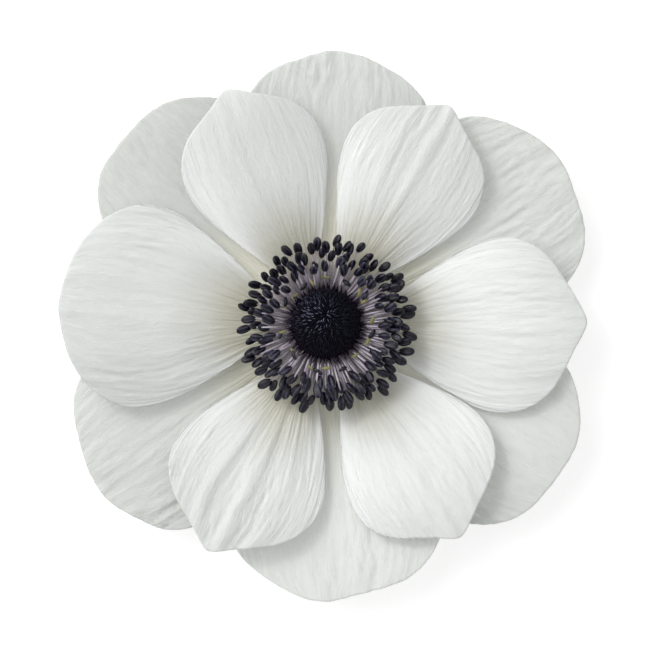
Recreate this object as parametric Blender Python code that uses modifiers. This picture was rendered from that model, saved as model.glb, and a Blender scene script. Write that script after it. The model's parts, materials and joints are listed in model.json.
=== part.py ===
"""Anemone flower head, cut just under the bloom and lying face up on the backs of its petals.

Six inner petals and six outer petals leave a receptacle whose stem is cut to a stub. A dome of
packed pistils stands on the receptacle, and three whorls of stamens stand round it. Metres, +Z up;
+Y is the top of the flower as it faces the viewer, and the flower's axis is the Z axis.
"""

import math
from dataclasses import dataclass

import bmesh
import bpy
from mathutils import Matrix, Vector

MM = 0.001

# The receptacle and the stub of the stem under it: radius and height of its turned outline.
STEM_RADIUS = 2.7 * MM
STUB_BOTTOM = 1.3 * MM
RECEPTACLE_RADIUS = 5.6 * MM
COLLAR_BOTTOM = 2.5 * MM
COLLAR_TOP = 5.3 * MM
CROWN_RADIUS = 4.3 * MM
CROWN_TOP = 7.1 * MM

# The dome of pistils, which overhangs the crown.
DOME_BOTTOM = 7.4 * MM
DOME_TOP = 15.2 * MM
DOME_RADIUS = 6.1 * MM
DOME_FOOT_RADIUS = 3.6 * MM
DOME_CENTRE_X = 0.3 * MM
DOME_BELLY_SHARE = 0.42  # height of its widest ring, as a share of its height

# Every petal: where its base starts and the point that its sides fan out from.
PETAL_BASE = 6.0 * MM
FAN_ORIGIN = 4.0 * MM
CLAW_HALF_WIDTH = 1.2 * MM
PETAL_THICKNESS = 0.5 * MM
NARROW_FAN = 0.62  # share of the full spread at the base
WIDENS_UNTIL = 0.75  # share of the length where the full spread is reached
TIP_WIDTH = 0.2
ROLLED_FROM = 0.6  # share of the length from which the margins are fully turned down
PETAL_COLUMNS = 20
PETAL_ROWS = 10

# Stamens.
STAMENS_IN_WHORL = 15
FILAMENT_RADIUS = 0.22 * MM
ANTHER_LENGTH = 2.8 * MM
ANTHER_RADIUS = 0.7 * MM
ANTHER_FLATNESS = 0.68  # thickness as a share of width
STAMEN_SIDES = 6

ROUND_STEPS = 24
SCREW_MERGE = 1e-5
SMOOTH_ANGLE = math.radians(40)


@dataclass(frozen=True)
class PetalRing:
    """What the six petals of one ring share."""

    name: str
    seat: float  # height of the mid-surface at the receptacle
    rise: float  # height of the outer end above the seat
    sag: float  # dip between the two ends
    belly: float  # how far the middle stands above the margins
    roll: float  # drop of the side margins
    curl: float  # drop of the tip
    twist: float  # slope across the petal, which tucks each margin under its neighbour
    shoulder: float  # share of the length where the side margin turns into the end
    squareness: float  # exponents of the rounded end
    fullness: float
    ripple: float  # depth of the waves along the end


@dataclass(frozen=True)
class Petal:
    """One petal, seen from above; left is its anticlockwise side."""

    direction: float  # degrees anticlockwise from +X
    length: float  # flower's axis to tip
    left: float  # degrees of spread on each side
    right: float
    tip_at: float  # where the tip sits across the petal, from -1 to 1
    tip: float  # how far the tip stands out from the rounded end
    ripple_phase: float


INNER_RING = PetalRing("inner_petal", seat=4.8 * MM, rise=7.1 * MM, sag=0.9 * MM, belly=0.7 * MM,
                       roll=2.3 * MM, curl=1.0 * MM, twist=0.02, shoulder=0.52, squareness=2.5,
                       fullness=0.46, ripple=0.10 * MM)
OUTER_RING = PetalRing("outer_petal", seat=3.0 * MM, rise=6.4 * MM, sag=2.2 * MM, belly=0.2 * MM,
                       roll=1.3 * MM, curl=1.0 * MM, twist=0.07, shoulder=0.60, squareness=2.4,
                       fullness=0.47, ripple=0.28 * MM)

INNER_PETALS = (
    Petal(0.0, 44.6 * MM, 33.5, 33.7, 0.02, 2.6 * MM, 0.3),
    Petal(61.0, 42.8 * MM, 28.5, 30.5, -0.03, 2.6 * MM, 1.1),
    Petal(112.5, 43.4 * MM, 30.0, 27.5, 0.02, 2.6 * MM, 2.9),
    Petal(174.0, 45.6 * MM, 37.3, 37.0, 0.05, 1.0 * MM, 4.2),
    Petal(242.5, 43.4 * MM, 32.5, 32.0, 0.0, 3.5 * MM, 5.0),
    Petal(302.5, 42.8 * MM, 33.5, 30.5, 0.0, 3.0 * MM, 0.8),
)
OUTER_PETALS = (
    Petal(33.0, 49.2 * MM, 32.5, 32.0, 0.0, 0.6 * MM, 0.0),
    Petal(87.0, 46.9 * MM, 31.0, 32.0, 0.1, 0.6 * MM, 2.2),
    Petal(134.5, 47.3 * MM, 30.5, 31.5, 0.0, 0.2 * MM, 4.0),
    Petal(214.0, 47.8 * MM, 31.5, 33.5, 0.2, 0.5 * MM, 1.3),
    Petal(273.5, 47.3 * MM, 36.5, 36.5, -0.1, 0.7 * MM, 3.3),
    Petal(327.5, 47.8 * MM, 32.5, 31.5, 0.0, 0.2 * MM, 5.4),
)


@dataclass(frozen=True)
class StamenWhorl:
    """One ring of stamens: foot and tip as radius and height."""

    name: str
    foot_radius: float
    foot_height: float
    tip_radius: float
    tip_height: float
    turn: float  # degrees round the axis
    sway: float  # tips lean this many degrees to either side in turn


STAMEN_WHORLS = (
    StamenWhorl("stamen_outer", 5.6 * MM, 5.7 * MM, 15.2 * MM, 9.2 * MM, 4.0, 3.0),
    StamenWhorl("stamen_middle", 5.12 * MM, 6.3 * MM, 13.2 * MM, 11.0 * MM, 12.0, -3.0),
    StamenWhorl("stamen_inner", 4.78 * MM, 6.8 * MM, 10.8 * MM, 12.3 * MM, 20.0, 3.0),
)


def clear_scene():
    """Removes the startup objects."""
    for obj in list(bpy.data.objects):
        bpy.data.objects.remove(obj, do_unlink=True)


def make_material(name, colour, roughness):
    """A plain Principled material; colour is linear RGB."""
    material = bpy.data.materials.new(name)
    material.use_nodes = True
    shader = material.node_tree.nodes["Principled BSDF"]
    shader.inputs["Base Color"].default_value = (*colour, 1.0)
    shader.inputs["Roughness"].default_value = roughness
    shader.inputs["Metallic"].default_value = 0.0
    return material


def add_object(name, mesh, material, collection, parent):
    """Links a mesh as one sub-part under the flower's empty."""
    obj = bpy.data.objects.new(name, mesh)
    obj.data.materials.append(material)
    obj.parent = parent
    collection.objects.link(obj)
    return obj


def turned_mesh(name, profile):
    """A mesh that holds only the outline to be turned: (radius, height) pairs, top to bottom."""
    mesh = bpy.data.meshes.new(name)
    points = [(radius, 0.0, height) for radius, height in profile]
    edges = [(i, i + 1) for i in range(len(points) - 1)]
    mesh.from_pydata(points, edges, [])
    return mesh


def turn(obj, steps):
    """Turns an outline about the object's Z axis."""
    screw = obj.modifiers.new("turned", "SCREW")
    screw.axis = "Z"
    screw.angle = math.tau
    screw.steps = steps
    screw.render_steps = steps
    screw.use_merge_vertices = True
    screw.merge_threshold = SCREW_MERGE
    screw.use_smooth_shade = True
    return screw


def make_receptacle(material, collection, parent):
    """The stub of the stem, the collar that carries the petals and the crown above it."""
    flare = 4
    outline = [(0.0, CROWN_TOP), (CROWN_RADIUS * 0.86, CROWN_TOP), (CROWN_RADIUS, CROWN_TOP - 0.5 * MM)]
    outline += [(RECEPTACLE_RADIUS - 0.2 * MM, COLLAR_TOP), (RECEPTACLE_RADIUS, COLLAR_TOP - 0.4 * MM)]
    for i in range(flare + 1):
        angle = math.pi / 2 * i / flare
        radius = STEM_RADIUS + (RECEPTACLE_RADIUS - STEM_RADIUS) * math.cos(angle)
        height = COLLAR_BOTTOM + (STUB_BOTTOM + 0.4 * MM - COLLAR_BOTTOM) * math.sin(angle)
        outline.append((radius, height))
    outline += [(STEM_RADIUS, STUB_BOTTOM), (0.0, STUB_BOTTOM)]
    obj = add_object("receptacle", turned_mesh("receptacle", outline), material, collection, parent)
    turn(obj, ROUND_STEPS)
    return obj


def make_dome(material, collection, parent):
    """The packed pistils as one low dome, widest a third of the way up."""
    height = DOME_TOP - DOME_BOTTOM
    belly = DOME_BOTTOM + DOME_BELLY_SHARE * height
    outline = []
    upper = 7
    lower = 4
    for i in range(1, upper + 1):
        angle = math.pi / 2 * (1 - i / upper)
        outline.append((DOME_RADIUS * math.cos(angle), belly + (DOME_TOP - belly) * math.sin(angle)))
    for i in range(1, lower + 1):
        angle = math.pi / 2 * i / lower
        radius = DOME_FOOT_RADIUS + (DOME_RADIUS - DOME_FOOT_RADIUS) * math.cos(angle)
        outline.append((radius, belly + (DOME_BOTTOM - belly) * math.sin(angle)))
    outline = [(0.0, DOME_TOP), *outline, (0.0, DOME_BOTTOM)]
    obj = add_object("pistil_dome", turned_mesh("pistil_dome", outline), material, collection, parent)
    obj.location.x = DOME_CENTRE_X
    turn(obj, ROUND_STEPS)
    return obj


def petal_plan(ring, petal, u, t):
    """Where a point of the petal lies in plan, as (along, across) the petal.

    u runs from 0 at the base to 1 at the end, t from -1 at the right margin to 1 at the left.
    """
    full = petal.length - FAN_ORIGIN
    shoulder = ring.shoulder * full
    rounded = max(0.0, 1.0 - abs(t) ** ring.squareness) ** ring.fullness
    reach = shoulder + (full - petal.tip - shoulder) * rounded
    reach += petal.tip * math.exp(-abs((t - petal.tip_at) / TIP_WIDTH) ** 1.5)
    reach += ring.ripple * math.sin(9.0 * t + petal.ripple_phase) * rounded
    start = PETAL_BASE - FAN_ORIGIN
    distance = start + (reach - start) * u
    spread = petal.left if t > 0 else petal.right
    widen = NARROW_FAN + (1 - NARROW_FAN) * math.sin(min(1.0, u / WIDENS_UNTIL) * math.pi / 2)
    angle = math.radians(spread) * t * widen
    along = FAN_ORIGIN + distance * math.cos(angle)
    across = distance * math.sin(angle) + t * CLAW_HALF_WIDTH * (1 - u) ** 3
    return along, across


def petal_height(ring, petal, t, along, across):
    """Height of the petal's mid-surface: a shallow bowl whose margins and tip turn down."""
    out = (math.hypot(along, across) - PETAL_BASE) / (petal.length - PETAL_BASE)
    out = min(1.0, max(0.0, out))
    height = ring.seat + ring.rise * out * out * (3 - 2 * out)
    height -= ring.sag * math.sin(math.pi * out) + ring.curl * out**8
    opened = min(1.0, out / ROLLED_FROM)
    eased = opened * opened * (3 - 2 * opened)
    height += (ring.belly * (1 - t * t) - ring.roll * abs(t) ** 2.5) * eased
    return height + ring.twist * across


def make_petal(ring, petal, number, material, collection, parent):
    """One petal: a grid shaped to the petal's mid-surface and given its thickness."""
    shape = bmesh.new()
    bmesh.ops.create_grid(shape, x_segments=PETAL_ROWS, y_segments=PETAL_COLUMNS, size=1.0)
    for vertex in shape.verts:
        u = (vertex.co.x + 1) / 2
        t = math.sin(vertex.co.y * math.pi / 2)
        along, across = petal_plan(ring, petal, u, t)
        vertex.co = (along, across, petal_height(ring, petal, t, along, across))
    mesh = bpy.data.meshes.new(f"{ring.name}_{number}")
    shape.to_mesh(mesh)
    shape.free()
    mesh.shade_smooth()
    obj = add_object(mesh.name, mesh, material, collection, parent)
    obj.rotation_euler.z = math.radians(petal.direction)
    solid = obj.modifiers.new("thickness", "SOLIDIFY")
    solid.thickness = PETAL_THICKNESS
    solid.offset = 0.0
    solid.use_rim = True
    return obj


def stamen_mesh(name, length):
    """The outline of a stamen standing on Z: a thin filament with a plump anther on its end."""
    anther_foot = length - ANTHER_LENGTH
    outline = [(0.0, length)]
    for share in (0.86, 0.6, 0.32, 0.08):
        angle = math.pi * share
        radius = ANTHER_RADIUS * math.sin(angle) ** 0.7
        outline.append((radius, anther_foot + ANTHER_LENGTH * share))
    outline += [(FILAMENT_RADIUS, anther_foot), (FILAMENT_RADIUS * 1.2, 0.0), (0.0, 0.0)]
    return turned_mesh(name, outline)


def make_stamens(whorl, material, collection, parent):
    """One whorl of separate stamens that share a mesh, each leaning out from the crown."""
    foot = Vector((whorl.foot_radius, 0.0, whorl.foot_height))
    tip = Vector((whorl.tip_radius, 0.0, whorl.tip_height))
    mesh = stamen_mesh(whorl.name, (tip - foot).length)
    for i in range(STAMENS_IN_WHORL):
        azimuth = math.radians(whorl.turn + 360.0 * i / STAMENS_IN_WHORL)
        sway = math.radians(whorl.sway * (1 if i % 2 else -1))
        aim = Matrix.Rotation(sway, 3, "Z") @ tip - foot
        side = Vector((0.0, 0.0, 1.0)).cross(aim).normalized()
        frame = Matrix((side, aim.normalized().cross(side), aim.normalized())).transposed()
        obj = add_object(f"{whorl.name}_{i + 1:02d}", mesh, material, collection, parent)
        turned = Matrix.Rotation(azimuth, 3, "Z") @ frame
        obj.matrix_local = (
            Matrix.Translation(Matrix.Rotation(azimuth, 3, "Z") @ foot)
            @ turned.to_4x4()
            @ Matrix.Diagonal((1.0, ANTHER_FLATNESS, 1.0, 1.0))
        )
        turn(obj, STAMEN_SIDES)


def rest_on_surface(flower, petals):
    """Lowers or lifts the flower until the lowest petal back touches height 0."""
    bpy.context.view_layer.update()
    graph = bpy.context.evaluated_depsgraph_get()
    lowest = math.inf
    for obj in petals:
        evaluated = obj.evaluated_get(graph)
        mesh = evaluated.to_mesh()
        lowest = min(lowest, min((evaluated.matrix_world @ v.co).z for v in mesh.vertices))
        evaluated.to_mesh_clear()
    flower.location.z -= lowest


def main():
    """Builds the flower."""
    clear_scene()
    collection = bpy.data.collections.new("anemone_flower")
    bpy.context.scene.collection.children.link(collection)
    flower = bpy.data.objects.new("flower_axis", None)
    collection.objects.link(flower)

    green = make_material("receptacle_green", (0.30, 0.36, 0.14), 0.6)
    white = make_material("petal_white", (0.86, 0.87, 0.84), 0.55)
    dark = make_material("pistil_black", (0.008, 0.006, 0.014), 0.5)
    navy = make_material("stamen_navy", (0.018, 0.014, 0.035), 0.45)

    make_receptacle(green, collection, flower)
    make_dome(dark, collection, flower)
    outer = [make_petal(OUTER_RING, petal, i + 1, white, collection, flower)
             for i, petal in enumerate(OUTER_PETALS)]
    for i, petal in enumerate(INNER_PETALS):
        make_petal(INNER_RING, petal, i + 1, white, collection, flower)
    for whorl in STAMEN_WHORLS:
        make_stamens(whorl, navy, collection, flower)
    rest_on_surface(flower, outer)


main()
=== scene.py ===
"""The looks of an open white anemone bloom: petals, pistils, stamens and the cut end of its stem.

Heights are counted as in the solids before they were set down, where the stem is cut at STUB_BOTTOM;
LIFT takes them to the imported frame. Petals, stamens and styles follow rules, so Geometry Nodes grow
them. A Python class stands behind each part of the flower and another behind each finish.
"""

import json
import logging
import math
from dataclasses import astuple, dataclass
from enum import Enum

import bmesh
import bpy
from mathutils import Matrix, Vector

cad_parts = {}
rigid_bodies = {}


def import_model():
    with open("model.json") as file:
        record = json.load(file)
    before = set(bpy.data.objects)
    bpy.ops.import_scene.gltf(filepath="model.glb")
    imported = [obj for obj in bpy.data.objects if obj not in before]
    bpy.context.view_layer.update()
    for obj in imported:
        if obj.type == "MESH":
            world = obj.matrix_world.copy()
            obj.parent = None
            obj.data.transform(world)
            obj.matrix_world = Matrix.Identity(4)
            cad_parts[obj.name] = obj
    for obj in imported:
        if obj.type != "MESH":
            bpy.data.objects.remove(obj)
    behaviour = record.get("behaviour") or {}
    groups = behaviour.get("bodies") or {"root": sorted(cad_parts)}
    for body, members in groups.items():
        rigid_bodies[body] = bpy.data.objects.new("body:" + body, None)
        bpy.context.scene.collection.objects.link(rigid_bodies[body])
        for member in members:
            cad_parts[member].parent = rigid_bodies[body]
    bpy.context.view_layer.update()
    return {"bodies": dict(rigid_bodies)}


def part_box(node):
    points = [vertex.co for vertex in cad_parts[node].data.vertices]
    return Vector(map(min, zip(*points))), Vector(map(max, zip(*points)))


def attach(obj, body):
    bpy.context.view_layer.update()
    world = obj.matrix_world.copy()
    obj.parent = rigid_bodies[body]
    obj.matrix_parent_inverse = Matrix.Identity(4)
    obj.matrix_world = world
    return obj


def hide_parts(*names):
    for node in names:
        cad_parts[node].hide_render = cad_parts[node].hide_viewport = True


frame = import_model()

LOG = logging.getLogger("anemone")
MM = 0.001
BODY = next(iter(frame["bodies"]))
GOLDEN_ANGLE = math.pi * (3.0 - math.sqrt(5.0))
Colour = tuple[float, float, float]

# Where the stem is cut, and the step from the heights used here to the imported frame.
STUB_BOTTOM = 1.3 * MM
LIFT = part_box("receptacle")[0].z - STUB_BOTTOM

# Every petal: where its base starts, the point that its sides fan out from, and its narrow claw.
PETAL_BASE = 6.0 * MM
FAN_ORIGIN = 4.0 * MM
CLAW_HALF_WIDTH = 1.6 * MM
NARROW_FAN = 0.62  # share of the full spread at the base
WIDENS_UNTIL = 0.75  # share of the length where the full spread is reached
TIP_WIDTH = 0.2
ROLLED_FROM = 0.6  # share of the length from which the margins are fully turned down
FAN_CLOSING = 0.42  # how strongly pleats and veins draw together again at the tip

# Names under which the trees store what the finishes read.
PETAL_UV = "petal"
ALONG = "along"
# A random tone for each piece, with painted light and shade folded in for the petals and the stamens.
TONE_AND_LIGHT = "tint"
CLAW_LIGHT = "claw_light"
RIDGE = "ridge"


class Slot(Enum):
    """The record's material slots."""

    PETAL = "petal_white"
    PISTIL = "pistil_black"
    STAMEN = "stamen_navy"
    RECEPTACLE = "receptacle_green"


class Field:
    """A value socket that is used like a number: each operation adds a Math node to its tree."""

    def __init__(self, graph: "Graph", socket: bpy.types.NodeSocket) -> None:
        """Wraps a socket of a graph."""
        self.graph = graph
        self.socket = socket

    def __add__(self, other: "Field | float") -> "Field":
        """Sum."""
        return self.graph.math("ADD", self, other)

    def __sub__(self, other: "Field | float") -> "Field":
        """Difference."""
        return self.graph.math("SUBTRACT", self, other)

    def __rsub__(self, other: float) -> "Field":
        """Difference from a number."""
        return self.graph.math("SUBTRACT", other, self)

    def __mul__(self, other: "Field | float") -> "Field":
        """Product."""
        return self.graph.math("MULTIPLY", self, other)

    def __truediv__(self, other: "Field | float") -> "Field":
        """Quotient."""
        return self.graph.math("DIVIDE", self, other)

    def __rtruediv__(self, other: float) -> "Field":
        """Quotient of a number."""
        return self.graph.math("DIVIDE", other, self)

    def __pow__(self, other: "Field | float") -> "Field":
        """Power."""
        return self.graph.math("POWER", self, other)

    def __neg__(self) -> "Field":
        """Negative."""
        return self.graph.math("MULTIPLY", self, -1.0)

    __radd__ = __add__
    __rmul__ = __mul__


class Graph:
    """A node tree that is being written."""

    def __init__(self, tree: bpy.types.NodeTree) -> None:
        """Wraps a node tree."""
        self.tree = tree

    def node(self, kind: str, settings: dict | None = None, sockets: dict | None = None) -> bpy.types.Node:
        """Adds a node.

        Args:
            kind: Blender's name of the node type.
            settings: The node's own settings, set first.
            sockets: Input socket, by name or number, to a value, a field or a socket to link.

        Returns:
            The node.
        """
        node = self.tree.nodes.new(kind)
        for name, value in (settings or {}).items():
            setattr(node, name, value)
        for name, value in (sockets or {}).items():
            value = value.socket if isinstance(value, Field) else value
            if isinstance(value, bpy.types.NodeSocket):
                self.tree.links.new(value, node.inputs[name])
            else:
                node.inputs[name].default_value = value
        return node

    def field(self, kind: str, settings: dict | None = None, sockets: dict | None = None,
              output: int | str = 0) -> Field:
        """Adds a node and returns one of its outputs.

        Args:
            kind: Blender's name of the node type.
            settings: The node's own settings.
            sockets: Its inputs.
            output: Number or name of the output.

        Returns:
            The output as a field.
        """
        return Field(self, self.node(kind, settings, sockets).outputs[output])

    def math(self, operation: str, *values: "Field | float") -> Field:
        """One Math node."""
        return self.field("ShaderNodeMath", {"operation": operation}, dict(enumerate(values)))

    def vector(self, x: "Field | float", y: "Field | float", z: "Field | float" = 0.0) -> Field:
        """A vector from three values."""
        return self.field("ShaderNodeCombineXYZ", None, {0: x, 1: y, 2: z})

    def parts(self, vector: Field) -> tuple[Field, Field, Field]:
        """The three values of a vector."""
        node = self.node("ShaderNodeSeparateXYZ", None, {0: vector})
        return tuple(Field(self, socket) for socket in node.outputs)

    def vector_math(self, operation: str, *vectors: "Field | tuple") -> Field:
        """One Vector Math node that gives a vector."""
        return self.field("ShaderNodeVectorMath", {"operation": operation}, dict(enumerate(vectors)))

    def scaled(self, vector: Field, scale: "Field | float") -> Field:
        """A vector times a value."""
        return self.field("ShaderNodeVectorMath", {"operation": "SCALE"}, {0: vector, "Scale": scale})

    def noise(self, vector: Field, scale: "Field | float" = 1.0, detail: float = 2.0,
              roughness: float = 0.5) -> Field:
        """Noise from 0 to 1."""
        sockets = {"Vector": vector, "Scale": scale, "Detail": detail, "Roughness": roughness}
        return self.field("ShaderNodeTexNoise", None, sockets, "Fac")

    def ease(self, value: Field, start: float, end: float) -> Field:
        """0 before start, 1 after end and a smooth rise between them."""
        settings = {"interpolation_type": "SMOOTHSTEP"}
        return self.field("ShaderNodeMapRange", settings, {0: value, 1: start, 2: end, 3: 0.0, 4: 1.0})


class Surface(Graph):
    """A material's node tree, round its Principled shader."""

    def __init__(self, material: bpy.types.Material) -> None:
        """Finds the material's tree and its shader."""
        super().__init__(material.node_tree)
        self.shader = self.tree.nodes["Principled BSDF"]

    def place(self) -> Field:
        """The object coordinates of a point."""
        return self.field("ShaderNodeTexCoord", None, None, "Object")

    def stored(self, name: str) -> Field:
        """A value that the mesh holds under a name."""
        return self.field("ShaderNodeAttribute", {"attribute_name": name}, None, "Fac")

    def blend(self, share: Field, first: "Colour | Field", second: "Colour | Field") -> Field:
        """Mixes two colours.

        Args:
            share: 0 for the first colour, 1 for the second.
            first: Linear RGB, or a colour socket.
            second: Linear RGB, or a colour socket.

        Returns:
            The mixed colour.
        """
        colours = [(*c, 1.0) if isinstance(c, tuple) else c for c in (first, second)]
        return self.field("ShaderNodeMix", {"data_type": "RGBA"}, {0: share, 6: colours[0], 7: colours[1]}, 2)

    def fix(self, name: str, value: "float | tuple") -> None:
        """Sets a number or a colour that is the same all over."""
        self.shader.inputs[name].default_value = value

    def feed(self, name: str, value: Field) -> None:
        """Links what changes over the surface to one of the shader's sockets."""
        self.tree.links.new(value.socket, self.shader.inputs[name])

    def emboss(self, height: Field, depth: float) -> None:
        """Bumps the surface by a height from 0 to 1, where 1 stands for a real depth in metres."""
        self.feed("Normal", self.field("ShaderNodeBump", None, {"Height": height, "Distance": depth}))


class Growth(Graph):
    """A Geometry Nodes tree with named sizes, which grows one plain mesh at a time."""

    SEED_STEP = 31.0

    def __init__(self, name: str, sizes: tuple[str, ...]) -> None:
        """Starts a tree.

        Args:
            name: The tree's name.
            sizes: Names of the number inputs; Seed is added to them.
        """
        super().__init__(bpy.data.node_groups.new(name, "GeometryNodeTree"))
        interface = self.tree.interface
        interface.new_socket(name="Geometry", in_out="OUTPUT", socket_type="NodeSocketGeometry")
        for size in sizes:
            interface.new_socket(name=size, in_out="INPUT", socket_type="NodeSocketFloat")
        interface.new_socket(name="Seed", in_out="INPUT", socket_type="NodeSocketInt")
        self.entry = self.tree.nodes.new("NodeGroupInput")
        self.sizes = sizes
        self.draws = 0

    def size(self, name: str) -> Field:
        """A named input."""
        return Field(self, self.entry.outputs[name])

    def random(self, low: float, high: float) -> Field:
        """A number for each element, drawn anew at each call.

        Args:
            low: Least value.
            high: Greatest value.

        Returns:
            The drawn value.
        """
        self.draws += 1
        sockets = {2: low, 3: high, "Seed": self.size("Seed") * self.SEED_STEP + float(self.draws)}
        return self.field("FunctionNodeRandomValue", {"data_type": "FLOAT"}, sockets, 1)

    def keep(self, geometry: Field, name: str, value: Field, data_type: str = "FLOAT",
             domain: str = "POINT") -> Field:
        """Stores a value on the geometry.

        Args:
            geometry: What it is stored on.
            name: The name it can be read by.
            value: The value.
            data_type: Blender's name of its type.
            domain: Blender's name of the element that has one value each.

        Returns:
            The geometry with the value.
        """
        settings = {"data_type": data_type, "domain": domain}
        sockets = {"Geometry": geometry, "Name": name, "Value": value}
        return self.field("GeometryNodeStoreNamedAttribute", settings, sockets)

    def kept(self, name: str, data_type: str = "FLOAT") -> Field:
        """Reads a stored value."""
        return self.field("GeometryNodeInputNamedAttribute", {"data_type": data_type}, {"Name": name})

    def placed(self, geometry: Field, position: Field) -> Field:
        """Moves every point to a position."""
        return self.field("GeometryNodeSetPosition", None, {"Geometry": geometry, "Position": position})

    def dressed(self, geometry: Field, material: bpy.types.Material) -> Field:
        """Realizes the instances of a geometry and finishes its surface.

        Args:
            geometry: The geometry, instances or meshes.
            material: The material that it gets.

        Returns:
            One smoothly shaded mesh with the material.
        """
        real = self.field("GeometryNodeRealizeInstances", None, {"Geometry": geometry})
        smooth = self.field("GeometryNodeSetShadeSmooth", None, {"Geometry": real})
        return self.field("GeometryNodeSetMaterial", None, {"Geometry": smooth, "Material": material})

    def finish(self, *geometries: Field) -> None:
        """Joins the dressed geometries into the tree's output.

        Args:
            geometries: The geometries, in the order of their faces.
        """
        join = self.node("GeometryNodeJoinGeometry")
        for geometry in geometries:
            self.tree.links.new(geometry.socket, join.inputs[0])
        exit_node = self.tree.nodes.new("NodeGroupOutput")
        self.tree.links.new(join.outputs[0], exit_node.inputs[0])

    def grow(self, name: str, values: tuple[float, ...], seed: int) -> bpy.types.Object:
        """Runs the tree once.

        Args:
            name: Name of the new object.
            values: A value for each named input, in their order.
            seed: The seed of its random draws.

        Returns:
            An object at the origin that holds the grown mesh, with no modifier left on it.
        """
        seedling = bpy.data.objects.new(name + "_seedling", bpy.data.meshes.new(name + "_seedling"))
        bpy.context.scene.collection.objects.link(seedling)
        modifier = seedling.modifiers.new("growth", "NODES")
        modifier.node_group = self.tree
        identifiers = {s.name: s.identifier for s in self.tree.interface.items_tree if s.in_out == "INPUT"}
        for size, value in zip(self.sizes, values, strict=True):
            modifier[identifiers[size]] = value
        modifier[identifiers["Seed"]] = seed
        graph = bpy.context.evaluated_depsgraph_get()
        mesh = bpy.data.meshes.new_from_object(seedling.evaluated_get(graph))
        mesh.name = name
        bpy.data.objects.remove(seedling, do_unlink=True)
        grown = bpy.data.objects.new(name, mesh)
        bpy.context.scene.collection.objects.link(grown)
        return grown


@dataclass(frozen=True)
class Finish:
    """What every finish has: a name, a roughness and a way to make its material."""

    name: str
    roughness: float

    def make(self) -> bpy.types.Material:
        """Makes the material.

        Returns:
            The material, with the nodes that the finish writes.
        """
        material = bpy.data.materials.new(self.name)
        material.use_nodes = True
        surface = Surface(material)
        surface.fix("Roughness", self.roughness)
        self.write(surface)
        return material

    def write(self, surface: Surface) -> None:
        """Writes the finish's own nodes."""
        raise NotImplementedError


@dataclass(frozen=True)
class PetalFinish(Finish):
    """Petal tissue: white with fine veins that fan from the base, tinted olive-grey towards it.

    Patterns that follow the petal are given as pairs, across it and along it. The others are given for
    each metre.
    """

    blade: Colour
    claw: Colour
    eye_and_shade: Colour
    rim: Colour
    claw_end: float  # share of the length where the claw's tint ends
    vein_strength: float
    vein_depth: float
    translucency: float

    VEINS = (20.0, 7.0)
    THREADS = (62.0, 20.0)
    RIDGES = (9.0, 2.0)
    CELLS = 2600.0
    MOTTLE = 90.0
    WIDE_BENDS = 200.0
    SMALL_BENDS = 700.0
    RIM_FROM, RIM_TO = 24 * MM, 46 * MM
    SCATTER = 1.2 * MM

    def write(self, surface: Surface) -> None:
        """Writes the tissue's colour, gloss and veins.

        Args:
            surface: The material's tree.
        """
        place = surface.place()
        across, along, _ = surface.parts(surface.field("ShaderNodeUVMap", {"uv_map": PETAL_UV}))
        across = across * 2.0 - 1.0
        fan = across / (1.0 - along**4.0 * FAN_CLOSING)
        wide = (surface.noise(place, self.WIDE_BENDS, 2.0) - 0.5) * 0.10
        small = (surface.noise(place, self.SMALL_BENDS, 1.0) - 0.5) * 0.05
        bent = fan + wide + small
        veins = surface.vector(bent * self.VEINS[0], along * self.VEINS[1])
        veins = surface.noise(veins, detail=3.0, roughness=0.6)
        threads = surface.noise(surface.vector(bent * self.THREADS[0], along * self.THREADS[1]), detail=2.0)
        cells = surface.noise(place, self.CELLS, 1.0)
        mottle = surface.noise(place, self.MOTTLE, 2.0)
        tint = 1.0 - surface.ease(along + (mottle - 0.5) * 0.16, 0.10, self.claw_end)
        # Painted light read from the mesh: each petal's level of light on its blade, margins and side, and on
        # its claw.
        own = surface.stored(TONE_AND_LIGHT)
        claw_light = surface.stored(CLAW_LIGHT)
        x, y, _ = surface.parts(place)
        radius = (x * x + y * y) ** 0.5
        colour = surface.blend(surface.ease(radius, self.RIM_FROM, self.RIM_TO), self.blade, self.rim)
        # Painted light and shade: each petal's claw is made lighter or darker by its own level.
        claw = surface.scaled(surface.vector(*self.claw), claw_light)
        colour = surface.blend(tint, surface.scaled(colour, own), claw)
        # The base's own dusky eye, made darker as painted shade between the filaments that lie over it.
        eye_and_shade_share = 1.0 - surface.ease(along + (threads - 0.5) * 0.06, 0.05, 0.20)
        colour = surface.blend(eye_and_shade_share, colour, self.eye_and_shade)
        shade = tuple(0.88 * c for c in self.blade[:2]) + (0.84 * self.blade[2],)
        lines = surface.ease(veins * 0.6 + threads * 0.4, 0.45, 0.75) * self.vein_strength
        surface.feed("Base Color", surface.blend(lines, colour, shade))
        surface.feed("Roughness", mottle * 0.16 + (self.roughness - 0.08))
        ridged = surface.noise(surface.vector(bent * self.RIDGES[0], along * self.RIDGES[1], 7.0), detail=2.0)
        height = veins * surface.ease(ridged, 0.3, 0.7) * 0.6 + threads * 0.28 + cells * 0.12
        surface.emboss(height, self.vein_depth)
        surface.fix("Subsurface Weight", self.translucency)
        surface.fix("Subsurface Radius", (1.0, 1.0, 1.0))
        surface.fix("Subsurface Scale", self.SCATTER)
        surface.fix("Specular IOR Level", 0.3)


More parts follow.
